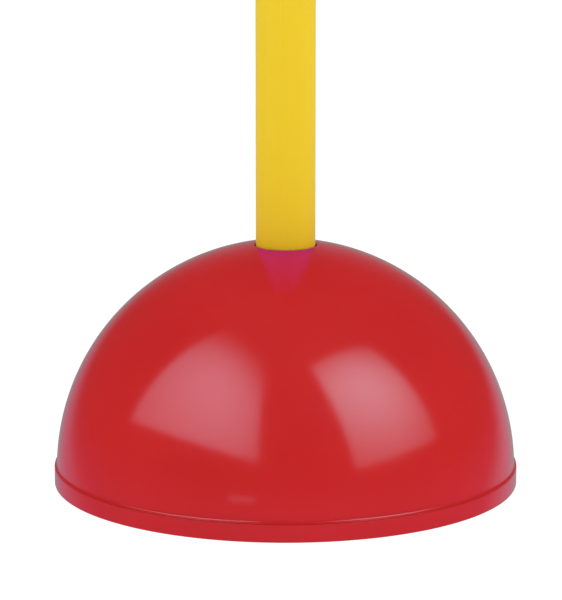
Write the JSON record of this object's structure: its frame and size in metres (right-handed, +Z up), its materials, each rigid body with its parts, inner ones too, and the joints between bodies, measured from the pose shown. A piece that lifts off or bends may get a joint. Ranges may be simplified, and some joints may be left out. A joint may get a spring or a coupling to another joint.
{
  "type": "agility pole with dome base",
  "caption": "Straight yellow agility pole standing upright in the crown socket of a glossy red sand-weighted dome base.",
  "frame": {"origin": "on the pole's axis, at the level of the floor under the rubber feet", "axes": "+Z up along the pole; the filler plug in the underside lies towards +Y; the front that the picture shows is -Y"},
  "size_m": [0.196, 0.196, 1.5053],
  "materials": {
    "red_shell": "smooth glossy moulded polypropylene, bright red",
    "yellow_pole": "even satin extruded PVC, warm yellow",
    "natural_plastic": "satin extruded tube, milky",
    "black_plastic": "satin moulded polyethylene, black",
    "black_rubber": "dull moulded rubber, black",
    "zinc_steel": "bright zinc plate",
    "dry_sand": "loose dry kiln sand"
  },
  "bodies": {
    "base": {"dome_shell": "red_shell", "base_tray": "red_shell", "socket_tube": "natural_plastic", "rim_gasket": "black_rubber", "sand_ballast": "dry_sand", "base_screw_1": "zinc_steel", "base_screw_2": "zinc_steel", "base_screw_3": "zinc_steel", "base_screw_4": "zinc_steel", "base_screw_5": "zinc_steel", "base_screw_6": "zinc_steel", "rubber_foot_1": "black_rubber", "rubber_foot_2": "black_rubber", "rubber_foot_3": "black_rubber", "rubber_foot_4": "black_rubber"},
    "grip_ring": {"pole_grip_ring": "black_rubber"},
    "pole": {"pole_tube": "yellow_pole", "pole_top_cap": "yellow_pole", "pole_foot_plug": "black_plastic"},
    "plug_seal": {"filler_seal": "black_rubber"},
    "plug": {"filler_plug": "black_plastic"}
  },
  "joints": [
    {"name": "pole_lift", "type": "slide", "parent": "base", "child": "grip_ring", "axis": [0, 0, 1], "range_m": [0, 0.1]},
    {"name": "pole_turn", "type": "hinge", "parent": "grip_ring", "child": "pole", "pos_m": [0, 0, 0.0118], "axis": [0, 0, 1], "continuous": true},
    {"name": "plug_travel", "type": "slide", "parent": "base", "child": "plug_seal", "axis": [0, 0, -1], "range_m": [0, 0.0125]},
    {"name": "plug_turn", "type": "hinge", "parent": "plug_seal", "child": "plug", "pos_m": [0, 0.0453, 0.0015], "axis": [0, 0, -1], "range_deg": [0, 1800]}
  ],
  "couplings": [
    {"joint": "plug_turn", "follows": "plug_travel", "rad_per_m": 2513}
  ]
}
